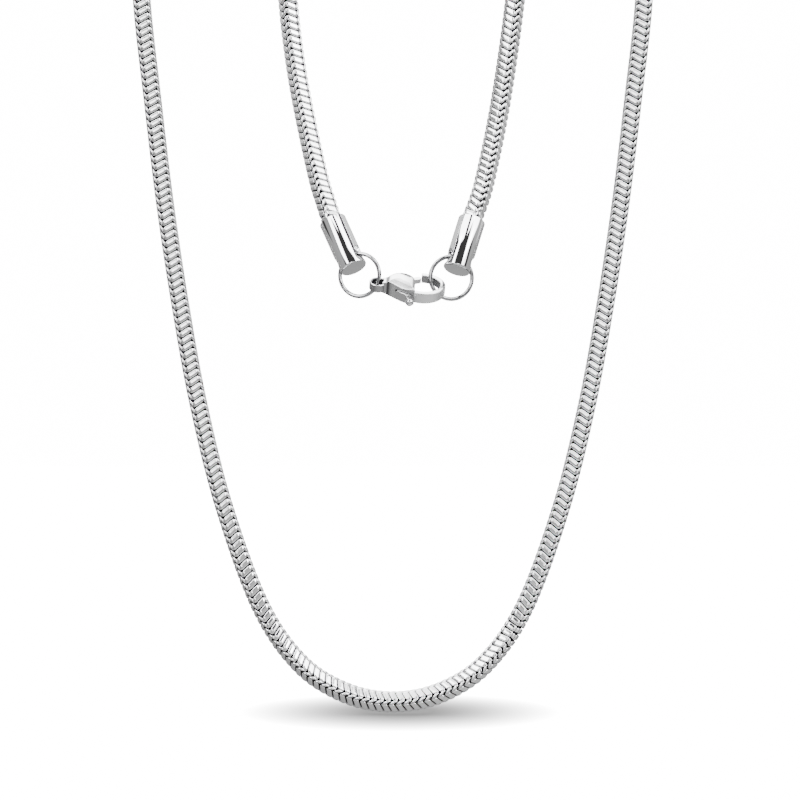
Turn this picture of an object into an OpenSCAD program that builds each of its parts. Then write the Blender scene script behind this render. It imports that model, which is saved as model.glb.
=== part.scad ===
// Snake chain necklace in polished steel: a square snake chain in two halves,
// a drilled end cap on each end, two jump rings and a lobster clasp.
// The necklace hangs as a whole loop from its two upper bends, which nothing shown holds.
// X runs to the right, Z up, and the front looks towards -Y.

/* [Chain] */
// Width of the chain across two opposite faces
chain_w = 3.5; // [3:0.1:3.6]
// Width of the chain across two opposite corners
chain_corner_w = 4.2; // [4.1:0.1:4.4]
// How much the loop hangs lower or higher than drawn
loop_drop = 0; // [-6:0.5:6]

/* [End caps] */
// Wall of the cap round the chain
cap_wall = 0.4; // [0.2:0.05:0.6]
// Gap all round between the chain and the cap's bore
cap_gap = 0.05; // [0.03:0.01:0.2]
// Depth that the chain goes into the cap
chain_seat = 5.8; // [4:0.1:7]
// Solid metal between the end of the chain and the cross hole
cap_web = 1.4; // [1:0.1:3]
// Diameter of the cross hole that takes the jump ring
cross_hole_d = 3.3; // [3.2:0.1:3.5]
// Metal between the cross hole and the closed end
cap_end_wall = 0.3; // [0.3:0.1:0.8]
// Bevel on the outer edges of the cap
cap_bevel = 0.15; // [0.05:0.05:0.25]

/* [Jump rings] */
// Wire of the jump rings
ring_wire = 0.8; // [0.6:0.1:0.9]
// Inside diameter of the jump rings
ring_inner_d = 7.2; // [7:0.1:7.8]

/* [Clasp body] */
// Hole of the clasp's eye
eye_hole_d = 2.2; // [2:0.1:2.4]
// Wall round the eye
eye_wall = 0.5; // [0.5:0.1:0.9]
// Thickness of the eye
eye_t = 1.6; // [1.2:0.1:1.7]
// Bevel on both rims of the eye's hole
eye_bevel = 0.25; // [0.2:0.05:0.3]
// Length from the eye to the end of the teardrop body
body_len = 7; // [6.8:0.1:7.4]
// Width of the teardrop body
body_w = 6; // [5.6:0.1:6.6]
// Thickness of the teardrop body at its crown
body_t = 3.9; // [3.5:0.1:4.1]
// Length from the eye to the far end of the hook
clasp_reach = 12.7; // [12.2:0.1:13.4]
// Width of the hook over its outside
hook_w = 7.6; // [7.4:0.1:8.2]
// Width of the hook's band, seen from the flat side
hook_band = 1; // [0.8:0.1:1.2]
// Thickness of the hook on the lever's side
hook_near_t = 2.2; // [1.8:0.1:2.3]
// Thickness of the hook on the gate's side, where its underside rises
hook_far_t = 1.6; // [1.4:0.1:1.7]

/* [Clasp lever] */
// Thickness of the lever
lever_t = 1; // [0.8:0.1:1.1]
// Half width of the lever's arms
lever_arm_r = 0.45; // [0.35:0.05:0.5]
// Diameter of the thumb knob
knob_d = 1.6; // [1.2:0.1:1.8]
// Height of the leaf that covers the lever's slot from outside
leaf_h = 2; // [1.9:0.05:2.2]
// Thickness of that leaf
leaf_t = 0.3; // [0.2:0.05:0.4]
// Diameter of the pivot pin, which is one piece with the clasp body
pivot_d = 0.8; // [0.6:0.1:1]
// Metal of the lever round its pivot hole
hub_wall = 0.5; // [0.4:0.1:0.6]
// Gap between the pin and the lever's hole
pivot_gap = 0.05; // [0.02:0.01:0.08]
// Gap between the lever and the slot that it moves in
slot_gap = 0.12; // [0.08:0.02:0.16]
// Angle that the gate opens
gate_open = 30; // [20:1:32]

/* [Hidden] */

$fn = 48;
eps = 0.01;
steel = [0.80, 0.81, 0.82];
bright_steel = [0.88, 0.88, 0.89];
satin_steel = [0.66, 0.67, 0.68];

// The chain's section is a square whose corners are cut flat.
chain_face_r = chain_w / 2;
chain_cut_r = chain_corner_w / 2;
chain_edge = chain_cut_r * sqrt(2) - chain_face_r;
chain_section = [[chain_face_r, -chain_edge], [chain_face_r, chain_edge],
                 [chain_edge, chain_face_r], [-chain_edge, chain_face_r],
                 [-chain_face_r, chain_edge], [-chain_face_r, -chain_edge],
                 [-chain_edge, -chain_face_r], [chain_edge, -chain_face_r]];
chain_far_r = norm(chain_section[0]);

ring_r = ring_inner_d / 2 + ring_wire / 2;
cross_hole_r = cross_hole_d / 2;
cap_bore_r = chain_far_r + cap_gap;
cap_r = cap_bore_r + cap_wall;
cap_bottom_z = -cross_hole_r - cap_end_wall;
cap_seat_z = cross_hole_r + cap_web;
cap_mouth_z = cap_seat_z + chain_seat;
// The end of the chain stands this far off the bottom of its bore.
chain_end_gap = 0.05;
// The mouth of the bore is opened out by a small bevel.
mouth_bevel = 0.1;

// The left jump ring hangs at a chosen point. Everything else on the clasp follows from it.
left_ring_at = [-6.2, -15.5, -72.9];
left_ring_turn = -22;
right_ring_turn = 12;
// Each cap leans along its ring, and its closed end tips forward, by these angles. It sits this far
// to one side along the wire, and the wire lies off the middle of the cross hole, towards the chain.
left_cap_lean = -31;
left_cap_tip = -14;
left_cap_aside = -0.2;
right_cap_lean = 22;
right_cap_tip = -20;
right_cap_aside = 0.25;
wire_off_middle = 0.45;

// The clasp lies nearly level. Its near side dips by clasp_dip, and its hook end by clasp_slope.
clasp_dip = 33;
clasp_slope = 4.5;
// Where the eye holds the left ring, below its middle, and how far out its hole's middle lies.
eye_ring_angle = -28;
eye_out = 0.12;
// Where the right ring crosses the middle of the hook: its angle on the ring, its gap to the
// hook's end, and how far it lies towards the far side.
hook_ring_angle = 203;
hook_ring_gap = 1.1;
hook_ring_far = 1.15;

function about_x(a, p) = [p.x, p.y * cos(a) - p.z * sin(a), p.y * sin(a) + p.z * cos(a)];
function about_y(a, p) = [p.x * cos(a) + p.z * sin(a), p.y, p.z * cos(a) - p.x * sin(a)];
function about_z(a, p) = [p.x * cos(a) - p.y * sin(a), p.x * sin(a) + p.y * cos(a), p.z];
function unit(v) = v / norm(v);
function on_ring(a) = [ring_r * cos(a), 0, ring_r * sin(a)];
function in_clasp(p) = about_y(clasp_slope, about_x(clasp_dip, p));

eye_at = left_ring_at + about_z(left_ring_turn, on_ring(eye_ring_angle)) + in_clasp([eye_out, 0, 0]);
hook_wire_at = eye_at + in_clasp([clasp_reach - hook_band - ring_wire / 2 - hook_ring_gap, hook_ring_far, 0]);
right_ring_at = hook_wire_at - about_z(right_ring_turn, on_ring(hook_ring_angle));

// A point on a cap's axis. z is counted from the middle of its cross hole towards the chain.
function cap_point(at, turn, lean, tip, aside, z) =
    at + about_z(turn, about_y(lean, [aside, 0, ring_r - wire_off_middle] + about_x(tip, [0, 0, z])));
function left_cap(z) =
    cap_point(left_ring_at, left_ring_turn, left_cap_lean, left_cap_tip, left_cap_aside, z);
function right_cap(z) =
    cap_point(right_ring_at, right_ring_turn, right_cap_lean, right_cap_tip, right_cap_aside, z);

// The route of the chain, from the left cap over the left bend, round the loop and back
// over the right bend to the right cap. Each row holds X, Y, Z and the chain's roll in
// degrees: at 0 a face looks to the front, and at 45 a corner does.
loop_top_z = -19.7;
loop_low_z = -154.2;
left_strand = [[-12.8, -9.6, -58.5, -27], [-14.0, -8.2, -54.6, -26], [-16.2, -4.9, -44.9, -24],
               [-18.1, -2.4, -35.2, -22], [-19.5, -0.9, -25.5, -20], [-20.5, -0.1, -16.0, -18]];
left_bend = [[-22.2, 0, -6.6, -15], [-27.7, 0, -0.4, -11], [-35.8, 0, 1.6, -7],
             [-43.4, 0, -1.4, -2], [-48.0, 0, -8.0, 2]];
front_left = [[-48.1, 0, loop_top_z, 4], [-45.9, 0, -39.9, 4], [-43.6, 0, -59.0, 4], [-40.7, 0, -78.2, 4],
              [-37.2, 0, -97.3, 5], [-32.4, 0, -116.5, 7], [-25.4, 0, -135.7, 14], [-17.8, 0, -146.8, 28],
              [-9.2, 0, -152.4, 41]];
loop_bottom = [[0, 0, loop_low_z, 45]];
right_bend = [[47.8, 0, -7.0, 1], [43.6, 0, -0.6, -4], [36.5, 0, 1.6, -10],
              [29.5, 0, -0.7, -16], [25.3, 0, -7.2, -21]];
right_strand = [[23.9, -0.1, -16.0, -24], [22.7, -0.9, -25.5, -26], [21.3, -2.5, -35.2, -27],
                [19.6, -4.9, -44.9, -27], [17.5, -8.2, -54.6, -27], [16.4, -9.7, -58.5, -27]];
cap_roll = -27;

function reversed(list) = [for (i = [len(list) - 1:-1:0]) list[i]];
function mirrored(list) = [for (p = reversed(list)) [-p.x, p.y, p.z, p[3]]];
function with_roll(p, roll) = [p.x, p.y, p.z, roll];
// The loop below the bends moves down by its share of loop_drop.
function dropped(p) =
    [p.x, p.y, p.z - loop_drop * (loop_top_z - p.z) / (loop_top_z - loop_low_z), p[3]];

// The chain leaves each cap straight for this length.
run_out = 1.2;
left_end = [for (z = [cap_seat_z + chain_end_gap, cap_mouth_z, cap_mouth_z + run_out])
    with_roll(left_cap(z), cap_roll)];
right_end = [for (z = [cap_seat_z + chain_end_gap, cap_mouth_z, cap_mouth_z + run_out])
    with_roll(right_cap(z), cap_roll)];
left_route = concat(left_end, left_strand, left_bend, [for (p = concat(front_left, loop_bottom)) dropped(p)]);
right_route = concat([for (p = concat(loop_bottom, mirrored(front_left))) dropped(p)], right_bend,
                     right_strand, reversed(right_end));
route = concat(left_route, [for (i = [1:len(right_route) - 1]) right_route[i]]);
meeting = len(left_route) - 1;
last = len(route) - 1;

// A smooth curve through the route: the point, and the heading, at share t of the stretch after point i.
function near_points(i) = [route[max(i - 1, 0)], route[i], route[min(i + 1, last)], route[min(i + 2, last)]];
function slope_term(p) = p[2] - p[0];
function square_term(p) = 2 * p[0] - 5 * p[1] + 4 * p[2] - p[3];
function cube_term(p) = 3 * p[1] - p[0] - 3 * p[2] + p[3];
function curve(i, t) = let(p = near_points(i))
    p[1] + 0.5 * (slope_term(p) * t + square_term(p) * t * t + cube_term(p) * t * t * t);
function place(p) = [p[0], p[1], p[2]];
function heading(i, t) = let(p = near_points(i))
    unit(place(slope_term(p) + 2 * square_term(p) * t + 3 * cube_term(p) * t * t));

// The corners of the section at one place of the curve. Its first axis looks to the front.
function section_at(i, t) = let(
    here = curve(i, t), along = heading(i, t),
    front = unit([0, -1, 0] - along * (along * [0, -1, 0])),
    outward = cross(along, front), roll = here[3])
    [for (c = chain_section) place(here)
        + front * (c.x * cos(roll) + c.y * sin(roll))
        + outward * (c.y * cos(roll) - c.x * sin(roll))];

// The rings of the tube stand at most ring_pitch apart, and closer on a stretch that turns sharply.
ring_pitch = 10.7;
sharp_turn = 10;
function turn_of(i) = acos(min(1, heading(i, 0) * heading(i, 1)));
function steps(i) = max(ceil(norm(place(route[i + 1] - route[i])) / ring_pitch), turn_of(i) > sharp_turn ? 2 : 1);

// One half of the chain: a tube through the curve from route point first to route point end.
module tube(first, end) {
    rings = concat([for (i = [first:end - 1]) for (s = [0:steps(i) - 1]) section_at(i, s / steps(i))],
                   [section_at(end - 1, 1)]);
    sides = len(chain_section);
    count = len(rings);
    polyhedron(
        points = [for (ring = rings) for (p = ring) p],
        faces = concat(
            [[for (j = [0:sides - 1]) j]],
            [for (r = [0:count - 2]) for (j = [0:sides - 1]) let(k = (j + 1) % sides)
                [r * sides + j, (r + 1) * sides + j, (r + 1) * sides + k]],
            [for (r = [0:count - 2]) for (j = [0:sides - 1]) let(k = (j + 1) % sides)
                [r * sides + j, (r + 1) * sides + k, r * sides + k]],
            [[for (j = [sides - 1:-1:0]) (count - 1) * sides + j]]));
}

module chain_left() {
    color(steel) tube(0, meeting);
}

module chain_right() {
    color(steel) tube(meeting, last);
}

// A cap stands on its closed end, with the middle of its cross hole at the origin.
module cap() {
    difference() {
        rotate_extrude() polygon([
            [0, cap_bottom_z], [cap_r - cap_bevel, cap_bottom_z], [cap_r, cap_bottom_z + cap_bevel],
            [cap_r, cap_mouth_z - mouth_bevel], [cap_r - mouth_bevel, cap_mouth_z], [0, cap_mouth_z]]);
        translate([0, 0, cap_seat_z]) cylinder(r = cap_bore_r, h = chain_seat + eps);
        rotate([0, 90, 0]) cylinder(r = cross_hole_r, h = 2 * cap_r + 2, center = true);
    }
}

module on_ring_frame(at, turn, lean, tip, aside) {
    translate(at) rotate([0, 0, turn]) rotate([0, lean, 0]) translate([aside, 0, ring_r - wire_off_middle])
        rotate([tip, 0, 0]) children();
}

module end_cap_left() {
    color(bright_steel)
        on_ring_frame(left_ring_at, left_ring_turn, left_cap_lean, left_cap_tip, left_cap_aside) cap();
}

module end_cap_right() {
    color(bright_steel)
        on_ring_frame(right_ring_at, right_ring_turn, right_cap_lean, right_cap_tip, right_cap_aside) cap();
}

module jump_ring(at, turn) {
    translate(at) rotate([0, 0, turn]) rotate([90, 0, 0])
        rotate_extrude() translate([ring_r, 0]) circle(d = ring_wire);
}

module jump_ring_left() {
    color(steel) jump_ring(left_ring_at, left_ring_turn);
}

module jump_ring_right() {
    color(steel) jump_ring(right_ring_at, right_ring_turn);
}

// The clasp is drawn flat: X from the eye towards the hook, Y towards the gate's side.
// Columns: length as a share of body_len, then the far and the near half width as shares of body_w / 2.
body_outline = [[0.14, 0.38, 0.32], [0.29, 0.42, 0.33], [0.36, 0.57, 0.43], [0.47, 0.74, 0.65],
                [0.64, 0.90, 0.95], [0.76, 0.89, 1.09], [0.87, 0.72, 1.16], [0.94, 0.45, 1.17], [1.00, 0.16, 1.15]];
// Columns: length as a share of body_len, and half thickness as a share of body_t / 2.
body_profile = [[0.12, 0.56], [0.22, 0.64], [0.31, 0.84], [0.39, 0.92], [0.50, 0.98], [0.60, 1.00], [0.85, 1.00],
                [0.94, 0.92], [1.04, 0.74]];
// The body is crowned along its near edge, which runs from here at this angle.
// Columns: distance in from that edge, and half thickness as a share of body_t / 2.
crown_from = [2.54, -1.35];
crown_turn = -33.4;
body_crown = [[-1.0, 0.62], [0, 0.79], [1.0, 0.92], [2.0, 1.00], [3.2, 1.00], [4.2, 0.93], [5.4, 0.78]];
eye_r = eye_hole_d / 2 + eye_wall;
// The hook is part of an oval that starts inside the body, at this share of its length.
hook_root = 0.586 * body_len;
hook_a = (clasp_reach - hook_root) / 2;
hook_b = hook_w / 2;
hook_mid = clasp_reach - hook_a;
hook_from = -128;
hook_to = 94;
hook_steps = 32;

function hook_arc(a, b) = [for (i = [0:hook_steps])
    let(angle = hook_from + (hook_to - hook_from) * i / hook_steps) [hook_mid + a * cos(angle), b * sin(angle)]];

// The hook is thick on the lever's side and thin on the gate's side, with a flat top.
module hook() {
    top = hook_near_t / 2;
    intersection() {
        linear_extrude(hook_near_t + 1, center = true)
            polygon(concat(hook_arc(hook_a, hook_b), reversed(hook_arc(hook_a - hook_band, hook_b - hook_band))));
        rotate([90, 0, 90]) linear_extrude(clasp_reach + 1)
            polygon([[-hook_b, -top], [hook_b, top - hook_far_t], [hook_b, top], [-hook_b, top]]);
    }
}

module teardrop() {
    far = [for (row = body_outline) [row[0] * body_len, row[1] * body_w / 2]];
    near = [for (row = body_outline) [row[0] * body_len, -row[2] * body_w / 2]];
    top = [for (row = body_profile) [row[0] * body_len, row[1] * body_t / 2]];
    under = [for (row = body_profile) [row[0] * body_len, -row[1] * body_t / 2]];
    crown = [for (row = body_crown) [row[0], row[1] * body_t / 2]];
    crown_under = [for (row = body_crown) [row[0], -row[1] * body_t / 2]];
    intersection() {
        linear_extrude(body_t + 1, center = true) polygon(concat(far, reversed(near)));
        rotate([90, 0, 0]) linear_extrude(2 * body_w, center = true) polygon(concat(top, reversed(under)));
        translate(crown_from) rotate([0, 0, crown_turn]) rotate([90, 0, 90])
            linear_extrude(3 * body_len, center = true) polygon(concat(crown, reversed(crown_under)));
    }
}

// The hole of the eye, opened out at both rims.
module eye_hole() {
    hole_r = eye_hole_d / 2;
    rim = eye_t / 2;
    cylinder(r = hole_r, h = 2 * eye_t, center = true);
    for (side = [0, 180]) rotate([side, 0, 0]) translate([0, 0, rim - eye_bevel])
        cylinder(r1 = hole_r, r2 = hole_r + 2 * eye_bevel, h = 2 * eye_bevel);
}

// The lever in the flat of the clasp. Its points are counted from the pivot.
pivot_at = [4.3, 0.2];
gate_elbow = [1.75, 2.0];
gate_tip = [3.3, 2.65];
knob_at = [1.9, -4.95];
// The knob and the leaf stand this far below the middle of the lever.
knob_drop = 0.3;
leaf_drop = 0.34;
hub_r = pivot_d / 2 + pivot_gap + hub_wall;
// The pin's ends lie this far below the faces of the body.
pin_inset = 0.2;

// A straight arm with round ends between two points of a flat outline.
module arm(a, b, r) {
    side = unit([b.y - a.y, a.x - b.x]) * r;
    polygon([a + side, b + side, b - side, a - side]);
    translate(a) circle(r = r);
    translate(b) circle(r = r);
}

module lever_outline(grow) {
    circle(r = hub_r + grow);
    arm([0, 0], gate_elbow, lever_arm_r + grow);
    arm(gate_elbow, gate_tip, lever_arm_r + grow);
    arm([0, 0], knob_at, lever_arm_r + grow);
}

// The leaf lies along the near wall of the body, a small gap off it. It starts and ends at these lengths
// from the eye, and its end towards the eye is round, as the rows of length and share of leaf_h say.
leaf_gap = 0.08;
leaf_from = 3.35;
leaf_to = 6.35;
leaf_step = 0.2;
leaf_round = [[0, 0.4], [0.12, 0.8], [0.35, 1]];
near_line = [for (row = body_outline) [row[0] * body_len, -row[2] * body_w / 2]];
leaf_places = [for (x = [leaf_from:leaf_step:leaf_to]) x];

function leaf_line(out) = [for (x = leaf_places) [x, lookup(x, near_line) - leaf_gap - out]];

module leaf() {
    half = [for (row = leaf_round) [leaf_from + row[0], row[1] * leaf_h / 2]];
    intersection() {
        linear_extrude(leaf_h, center = true) polygon(concat(leaf_line(0), reversed(leaf_line(leaf_t))));
        rotate([90, 0, 0]) linear_extrude(2 * body_w, center = true) polygon(concat(
            half, [[leaf_to, leaf_h / 2], [leaf_to, -leaf_h / 2]], reversed([for (p = half) [p.x, -p.y]])));
    }
}

// The slot is cut in turns of this angle.
slot_step = 5;

module lever_slot() {
    linear_extrude(lever_t + 2 * slot_gap, center = true) for (a = [0:slot_step:gate_open + slot_step])
        rotate(-min(a, gate_open)) lever_outline(slot_gap);
}

module in_clasp_frame() {
    translate(eye_at) rotate([0, clasp_slope, 0]) rotate([clasp_dip, 0, 0]) children();
}

module clasp_body() {
    color(satin_steel) in_clasp_frame() {
        difference() {
            union() {
                cylinder(r = eye_r, h = eye_t, center = true);
                teardrop();
                hook();
            }
            eye_hole();
            translate(pivot_at) lever_slot();
        }
        translate(pivot_at) cylinder(d = pivot_d, h = body_t - 2 * pin_inset, center = true);
    }
}

module clasp_lever() {
    color(bright_steel) in_clasp_frame() translate(pivot_at) difference() {
        union() {
            linear_extrude(lever_t, center = true) lever_outline(0);
            translate([knob_at.x, knob_at.y, -knob_drop]) sphere(d = knob_d);
            translate([-pivot_at.x, -pivot_at.y, -leaf_drop]) leaf();
        }
        cylinder(d = pivot_d + 2 * pivot_gap, h = 2 * lever_t, center = true);
    }
}

chain_left();
chain_right();
end_cap_left();
end_cap_right();
jump_ring_left();
jump_ring_right();
clasp_body();
clasp_lever();
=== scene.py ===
import logging
import math
from dataclasses import dataclass
from enum import Enum

import bpy
import numpy as np
from bpy.types import ID, Material, Node, NodeSocket, NodeTree, Object, bpy_prop_collection
from mathutils import Matrix, Vector


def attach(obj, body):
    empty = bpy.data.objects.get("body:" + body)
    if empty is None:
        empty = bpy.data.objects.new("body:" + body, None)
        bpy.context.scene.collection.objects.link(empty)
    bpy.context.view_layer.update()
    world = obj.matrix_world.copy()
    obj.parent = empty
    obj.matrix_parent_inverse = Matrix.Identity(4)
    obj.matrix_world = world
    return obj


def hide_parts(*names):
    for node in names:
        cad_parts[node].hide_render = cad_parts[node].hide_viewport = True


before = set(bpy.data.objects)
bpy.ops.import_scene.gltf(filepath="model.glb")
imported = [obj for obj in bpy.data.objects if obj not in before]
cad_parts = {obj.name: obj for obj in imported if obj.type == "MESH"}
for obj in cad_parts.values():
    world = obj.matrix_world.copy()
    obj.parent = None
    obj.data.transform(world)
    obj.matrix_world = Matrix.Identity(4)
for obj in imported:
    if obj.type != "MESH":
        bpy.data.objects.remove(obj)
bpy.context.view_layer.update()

MM = 0.001
WELD_REACH = 1e-4
NECKLACE = "necklace"
LEVER = "lever"
log = logging.getLogger("necklace")


# Small helpers for meshes. All shapes are drawn in millimetres and brought to metres at the end.

def turned(axis: str, degrees: float) -> Matrix:
    """Returns the 4x4 rotation about one of the axes X, Y and Z."""
    return Matrix.Rotation(math.radians(degrees), 4, axis)


def moved(x: float, y: float, z: float) -> Matrix:
    """Returns the 4x4 move by x, y and z."""
    return Matrix.Translation((x, y, z))


def in_scene(name: str, data: ID) -> Object:
    """Makes an object that shows a mesh or holds a camera, and links it to the scene."""
    thing = bpy.data.objects.new(name, data)
    bpy.context.scene.collection.objects.link(thing)
    return thing


def mesh_object(name: str, points: np.ndarray, faces: np.ndarray, smooth: bool = True) -> Object:
    """Makes an object from points and four-sided faces.

    Args:
        name: name of the object and its mesh.
        points: rows of X, Y and Z.
        faces: rows of four point numbers.
        smooth: whether the faces are shaded smooth.

    Returns:
        The new object, linked to the scene.
    """
    mesh = bpy.data.meshes.new(name)
    mesh.vertices.add(len(points))
    mesh.vertices.foreach_set("co", np.asarray(points, np.float32).ravel())
    mesh.loops.add(faces.size)
    mesh.loops.foreach_set("vertex_index", np.asarray(faces, np.int32).ravel())
    mesh.polygons.add(len(faces))
    mesh.polygons.foreach_set("loop_start", np.arange(0, faces.size, 4, dtype=np.int32))
    mesh.update(calc_edges=True)
    mesh.validate()
    mesh.polygons.foreach_set("use_smooth", np.full(len(faces), smooth))
    return in_scene(name, mesh)


def grid_faces(rows: int, columns: int) -> np.ndarray:
    """Returns the faces of a grid of points that is closed in both directions."""
    row, column = np.meshgrid(np.arange(rows), np.arange(columns), indexing="ij")
    next_row, next_column = (row + 1) % rows, (column + 1) % columns
    corners = [row * columns + column, next_row * columns + column,
               next_row * columns + next_column, row * columns + next_column]
    return np.stack(corners, axis=-1).reshape(-1, 4)


def closed_loft(name: str, rings: list[np.ndarray]) -> Object:
    """Makes a solid from rings of points, with a fan of faces over each end.

    Args:
        name: name of the object.
        rings: the rings, all of as many points, in rows of X, Y and Z.

    Returns:
        The new object.
    """
    count, around = len(rings), len(rings[0])
    points = np.concatenate([*rings, [rings[0].mean(0)], [rings[-1].mean(0)]])
    start, end = count * around, count * around + 1
    side = np.arange(around)
    after = (side + 1) % around
    last_ring = (count - 1) * around
    low = np.stack([np.full(around, start), after, side], axis=-1)
    high = np.stack([np.full(around, end), side + last_ring, after + last_ring], axis=-1)
    walls = grid_faces(count, around)[:-around, ::-1]
    mesh = bpy.data.meshes.new(name)
    mesh.from_pydata(points.tolist(), [], walls.tolist() + low.tolist() + high.tolist())
    mesh.update()
    return in_scene(name, mesh)


def joined(name: str, parts: list[Object]) -> Object:
    """Joins parts into the first of them and gives it the name."""
    with bpy.context.temp_override(
            active_object=parts[0], selected_editable_objects=parts, selected_objects=parts):
        bpy.ops.object.join()
    parts[0].name = name
    return parts[0]


def settle(thing: Object) -> None:
    """Replaces an object's mesh by what its modifiers make of it."""
    graph = bpy.context.evaluated_depsgraph_get()
    made = bpy.data.meshes.new_from_object(thing.evaluated_get(graph))
    old = thing.data
    thing.modifiers.clear()
    thing.data = made
    bpy.data.meshes.remove(old)


def fuse(thing: Object, grain: float, smoothing: int = 0) -> None:
    """Melts an object's overlapping solids into one skin, as a casting has.

    Args:
        thing: the object.
        grain: size of the new faces.
        smoothing: how many times the skin is smoothed.
    """
    remesh = thing.modifiers.new("fuse", "REMESH")
    remesh.mode = "VOXEL"
    remesh.voxel_size = grain
    if smoothing:
        soften = thing.modifiers.new("soften", "SMOOTH")
        soften.iterations = smoothing
    settle(thing)


def cut(thing: Object, tool: Object) -> None:
    """Cuts the shape of tool out of thing and deletes tool."""
    bpy.context.view_layer.update()
    boolean = thing.modifiers.new("cut", "BOOLEAN")
    boolean.operation = "DIFFERENCE"
    boolean.solver = "EXACT"
    boolean.use_self = True
    boolean.object = tool
    settle(thing)
    bpy.data.objects.remove(tool)


def full_turn(steps: int) -> np.ndarray:
    """Returns evenly spaced angles round a circle, in radians."""
    return np.linspace(0, 2 * math.pi, steps, endpoint=False)


def soft_square(steps: int, power: float) -> tuple[np.ndarray, np.ndarray]:
    """Draws a square from -1 to 1 with round corners.

    Args:
        steps: points round it.
        power: how round it is, from 0 for a plain square to 1 for a circle.

    Returns:
        The points' places across and up.
    """
    turn = full_turn(steps)
    across, up = (np.sign(wave) * np.abs(wave) ** power for wave in (np.cos(turn), np.sin(turn)))
    return across, up


def revolved(name: str, profile: list[tuple[float, float]], steps: int) -> Object:
    """Turns a closed outline of radius and height about the Z axis.

    Args:
        name: name of the object.
        profile: rows of radius and height, going up on the outside.
        steps: points round the axis.

    Returns:
        The new object. Points on the axis are merged.
    """
    outline = np.array(profile)
    angle = full_turn(steps)[:, None]
    points = np.stack([outline[:, 0] * np.cos(angle), outline[:, 0] * np.sin(angle),
                       np.broadcast_to(outline[:, 1], (steps, len(outline)))], axis=-1)
    thing = mesh_object(name, points.reshape(-1, 3), grid_faces(steps, len(outline)))
    weld = thing.modifiers.new("weld", "WELD")
    weld.merge_threshold = WELD_REACH
    settle(thing)
    return thing


def rod(name: str, radius: float, half: float, steps: int) -> Object:
    """Makes a round bar along Z whose middle is at the origin and whose length is twice half."""
    return revolved(name, [(0, -half), (radius, -half), (radius, half), (0, half)], steps)


def place(thing: Object, matrix: Matrix) -> None:
    """Moves an object's points from its own millimetres to their place in the frame, in metres."""
    thing.data.transform(Matrix.Scale(MM, 4) @ matrix)
    thing.data.update()


def shade(thing: Object, sharp_above: float = 180) -> None:
    """Shades an object smooth, apart from edges sharper than an angle in degrees."""
    thing.data.polygons.foreach_set("use_smooth", np.ones(len(thing.data.polygons), bool))
    if sharp_above < 180:
        thing.data.set_sharp_from_angle(angle=math.radians(sharp_above))


def paint(thing: Object, name: str, values: np.ndarray) -> None:
    """Stores one number a point on an object, for its material to read."""
    layer = thing.data.attributes.new(name, "FLOAT", "POINT")
    layer.data.foreach_set("value", np.asarray(values, np.float32))


def rows_of(items: bpy_prop_collection, key: str) -> np.ndarray:
    """Reads a vector from each item of a collection, as rows of X, Y and Z."""
    found = np.zeros(len(items) * 3, np.float32)
    items.foreach_get(key, found)
    return found.reshape(-1, 3)


def points_of(thing: Object) -> np.ndarray:
    """Returns an object's points."""
    return rows_of(thing.data.vertices, "co")


def normals_of(thing: Object) -> np.ndarray:
    """Returns the direction that each of an object's points faces."""
    return rows_of(thing.data.vertex_normals, "vector")


# Finishes

def new_node(tree: NodeTree, kind: str, inputs: dict | None = None, **settings: object) -> Node:
    """Adds a shader node to a tree.

    Args:
        tree: the tree.
        kind: the node's type, without the ShaderNode that every type starts with.
        inputs: what its sockets get, by name or number: values, or other nodes' sockets to link to.
        settings: values for its own properties.

    Returns:
        The node.
    """
    node = tree.nodes.new("ShaderNode" + kind)
    for label, value in settings.items():
        setattr(node, label, value)
    for socket, value in (inputs or {}).items():
        if isinstance(value, NodeSocket):
            tree.links.new(value, node.inputs[socket])
        else:
            node.inputs[socket].default_value = value
    return node


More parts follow.
